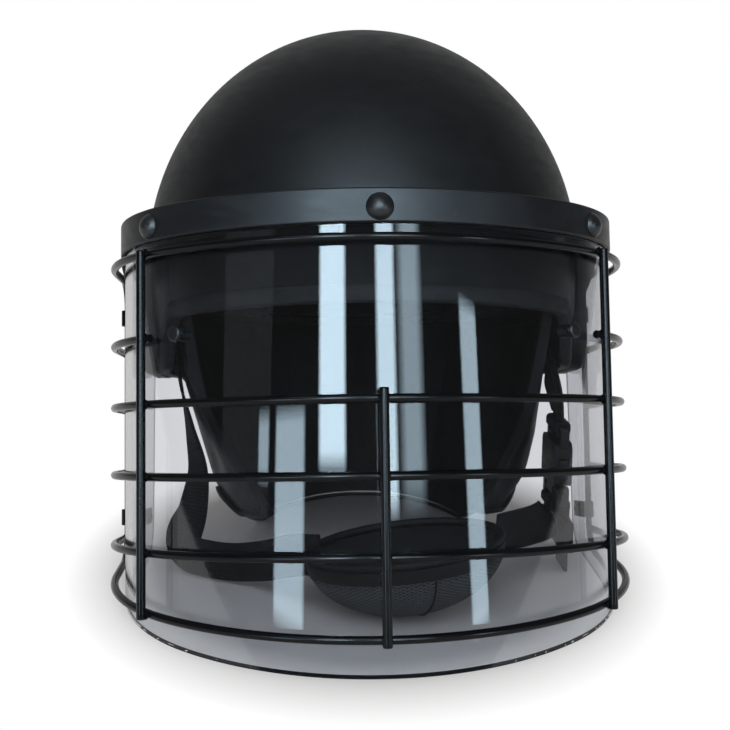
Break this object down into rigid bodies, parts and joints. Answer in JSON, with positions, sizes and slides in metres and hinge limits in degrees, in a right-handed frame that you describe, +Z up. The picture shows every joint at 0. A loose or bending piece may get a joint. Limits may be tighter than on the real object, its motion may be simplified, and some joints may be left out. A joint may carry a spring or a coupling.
{
  "type": "riot helmet",
  "caption": "Riot helmet with a domed shell, a clear face visor behind a welded wire grille that hinges up at the ears, a neck guard, and a buckled chin strap with a chin cup.",
  "frame": {"origin": "on the table at the centre of the helmet's bounding box", "axes": "+Z up from the table, -Y the way the face looks, +X to the right of a person facing the visor's front"},
  "size_m": [0.3092, 0.3753, 0.3271],
  "materials": {
    "shell_black": "satin black moulded shell",
    "pad_black": "matte black moulded plastic",
    "rubber_black": "matte black rubber",
    "band_black": "satin black",
    "visor_clear": "clear polished sheet with a faint grey tint",
    "wire_black": "gloss black coating",
    "screw_black": "black oxide, half gloss",
    "steel": "zinc-plated steel",
    "brass": "machined brass",
    "washer_black": "black fibre washer",
    "foam_black": "moulded bead foam",
    "pad_cloth": "black napped cloth over foam",
    "guard_leather": "black coated cloth, fine grain",
    "piping": "black folded edge binding",
    "webbing": "black woven webbing",
    "buckle_black": "black moulded plastic",
    "cup_mesh": "black open mesh cloth over a moulded cup"
  },
  "bodies": {
    "helmet": {"brow_pad": "pad_cloth", "brow_seal": "rubber_black", "buckle_plug": "buckle_black", "buckle_socket": "buckle_black", "cheek_flap_left": "guard_leather", "cheek_flap_right": "guard_leather", "chin_cup": "cup_mesh", "chin_cup_lining": "pad_cloth", "chin_cup_piping": "piping", "chin_strap_left": "webbing", "chin_strap_lower": "webbing", "chin_strap_right": "webbing", "crown_pad": "pad_cloth", "foam_liner": "foam_black", "friction_washer_left": "washer_black", "friction_washer_right": "washer_black", "guard_piping": "piping", "nape_pad": "pad_cloth", "neck_guard": "guard_leather", "pivot_insert_left": "brass", "pivot_insert_right": "brass", "pivot_pad_left": "pad_black", "pivot_pad_right": "pad_black", "pivot_screw_left": "screw_black", "pivot_screw_right": "screw_black", "shell": "shell_black", "shell_edge_trim": "rubber_black", "side_pad_left": "pad_cloth", "side_pad_right": "pad_cloth", "snap_studs": "screw_black", "strap_anchors": "screw_black", "strap_rivets": "screw_black"},
    "visor_assembly": {"backing_strip": "band_black", "band_nuts": "steel", "band_screws": "screw_black", "brow_wire_left": "wire_black", "brow_wire_right": "wire_black", "carrier_band": "band_black", "centre_rod": "wire_black", "clip_screws_lower": "screw_black", "clip_screws_upper": "screw_black", "cross_wire_lower": "wire_black", "cross_wire_middle": "wire_black", "cross_wire_upper": "wire_black", "ear_bush_left": "brass", "ear_bush_right": "brass", "front_rod_left": "wire_black", "front_rod_right": "wire_black", "grille_clips_lower": "wire_black", "grille_clips_upper": "wire_black", "grille_frame": "wire_black", "stud_nuts": "steel", "visor": "visor_clear", "visor_studs": "screw_black"},
    "prong_front": {"buckle_prong_front": "buckle_black"},
    "prong_rear": {"buckle_prong_rear": "buckle_black"},
    "keeper": {"strap_keeper": "buckle_black"}
  },
  "joints": [
    {"name": "visor_hinge", "type": "hinge", "parent": "helmet", "child": "visor_assembly", "pos_m": [0, 0.05155, 0.16954], "axis": [-1, 0, 0], "range_deg": [0, 90]},
    {"name": "prong_front_press", "type": "hinge", "parent": "helmet", "child": "prong_front", "pos_m": [0.115, -0.04499, 0.0523], "axis": [-1, 0, 0], "range_deg": [0, 12], "stiffness_Nm_per_rad": 0.5},
    {"name": "prong_rear_press", "type": "hinge", "parent": "helmet", "child": "prong_rear", "pos_m": [0.115, -0.02499, 0.0523], "axis": [1, 0, 0], "range_deg": [0, 12], "stiffness_Nm_per_rad": 0.5},
    {"name": "keeper_slide", "type": "slide", "parent": "helmet", "child": "keeper", "axis": [0, 0, 1], "range_m": [-0.012, 0.006]}
  ]
}
